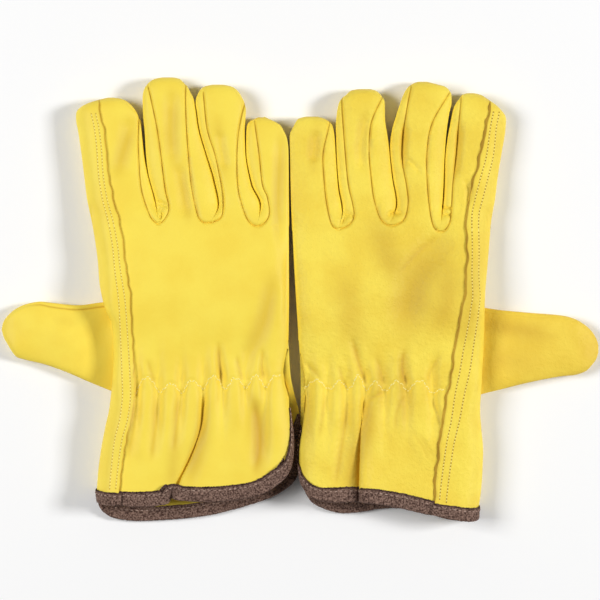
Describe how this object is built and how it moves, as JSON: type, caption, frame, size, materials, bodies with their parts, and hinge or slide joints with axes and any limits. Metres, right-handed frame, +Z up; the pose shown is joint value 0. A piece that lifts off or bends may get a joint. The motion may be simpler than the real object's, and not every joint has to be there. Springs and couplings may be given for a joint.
{
  "type": "pair of leather work gloves",
  "caption": "Pair of unlined leather work gloves with wrist elastic, lapped index seam and bound vented cuffs, laid palm down side by side.",
  "frame": {"origin": "middle of the pair's footprint on the surface that it lies on", "axes": "+X across the pair from the right-hand glove to the left-hand glove, +Y towards the fingertips, +Z up from the palms to the backs"},
  "size_m": [0.3496, 0.2543, 0.022],
  "materials": {
    "leather": "smooth yellow grain leather",
    "thread": "pale yellow sewing thread",
    "elastic": "off-white woven elastic tape",
    "binding": "dark brown napped tape"
  },
  "bodies": {
    "right_hand": {"right_back": "leather", "right_palm": "leather", "right_elastic": "elastic", "right_elastic_thread": "thread", "right_lap_thread": "thread", "right_cuff_binding": "binding", "right_binding_thread": "thread"},
    "right_index": {"right_index_back": "leather", "right_index_palm": "leather", "right_index_fourchette": "leather", "right_index_lap_thread": "thread"},
    "right_middle": {"right_middle_back": "leather", "right_middle_palm": "leather", "right_middle_fourchette_thumb_side": "leather", "right_middle_fourchette_little_side": "leather"},
    "right_ring": {"right_ring_back": "leather", "right_ring_palm": "leather", "right_ring_fourchette_thumb_side": "leather", "right_ring_fourchette_little_side": "leather"},
    "right_little": {"right_little_back": "leather", "right_little_palm": "leather", "right_little_fourchette": "leather"},
    "right_thumb": {"right_thumb_back": "leather", "right_thumb_front": "leather"},
    "left_hand": {"left_back": "leather", "left_palm": "leather", "left_elastic": "elastic", "left_elastic_thread": "thread", "left_lap_thread": "thread", "left_cuff_binding": "binding", "left_binding_thread": "thread"},
    "left_index": {"left_index_back": "leather", "left_index_palm": "leather", "left_index_fourchette": "leather", "left_index_lap_thread": "thread"},
    "left_middle": {"left_middle_back": "leather", "left_middle_palm": "leather", "left_middle_fourchette_thumb_side": "leather", "left_middle_fourchette_little_side": "leather"},
    "left_ring": {"left_ring_back": "leather", "left_ring_palm": "leather", "left_ring_fourchette_thumb_side": "leather", "left_ring_fourchette_little_side": "leather"},
    "left_little": {"left_little_back": "leather", "left_little_palm": "leather", "left_little_fourchette": "leather"},
    "left_thumb": {"left_thumb_back": "leather", "left_thumb_front": "leather"}
  },
  "joints": [
    {"name": "pair_spread", "type": "slide", "parent": "right_hand", "child": "left_hand", "axis": [1, 0, 0], "range_m": [0, 0.15]},
    {"name": "right_index_flex", "type": "hinge", "parent": "right_hand", "child": "right_index", "pos_m": [-0.1025, 0.0426, 0], "axis": [-0.9896, -0.1438, 0], "range_deg": [0, 80]},
    {"name": "right_middle_flex", "type": "hinge", "parent": "right_hand", "child": "right_middle", "pos_m": [-0.06925, 0.0426, 0], "axis": [-0.9937, -0.1117, 0], "range_deg": [0, 80]},
    {"name": "right_ring_flex", "type": "hinge", "parent": "right_hand", "child": "right_ring", "pos_m": [-0.04125, 0.0426, 0], "axis": [-0.9967, -0.081, 0], "range_deg": [0, 80]},
    {"name": "right_little_flex", "type": "hinge", "parent": "right_hand", "child": "right_little", "pos_m": [-0.017, 0.0426, 0], "axis": [-0.9986, -0.0523, 0], "range_deg": [0, 80]},
    {"name": "right_thumb_flex", "type": "hinge", "parent": "right_hand", "child": "right_thumb", "pos_m": [-0.11051, -0.0264, 0], "axis": [0.0899, -0.996, 0], "range_deg": [0, 60]},
    {"name": "left_index_flex", "type": "hinge", "parent": "left_hand", "child": "left_index", "pos_m": [0.0975, 0.0401, 0], "axis": [-0.989, 0.148, 0], "range_deg": [0, 80]},
    {"name": "left_middle_flex", "type": "hinge", "parent": "left_hand", "child": "left_middle", "pos_m": [0.06875, 0.0401, 0], "axis": [-0.9962, 0.0869, 0], "range_deg": [0, 80]},
    {"name": "left_ring_flex", "type": "hinge", "parent": "left_hand", "child": "left_ring", "pos_m": [0.039, 0.0401, 0], "axis": [-1, -0.0093, 0], "range_deg": [0, 80]},
    {"name": "left_little_flex", "type": "hinge", "parent": "left_hand", "child": "left_little", "pos_m": [0.0095, 0.0401, 0], "axis": [-1, -0.0039, 0], "range_deg": [0, 80]},
    {"name": "left_thumb_flex", "type": "hinge", "parent": "left_hand", "child": "left_thumb", "pos_m": [0.1035, -0.0299, 0], "axis": [0.0685, 0.9976, 0], "range_deg": [0, 60]}
  ]
}
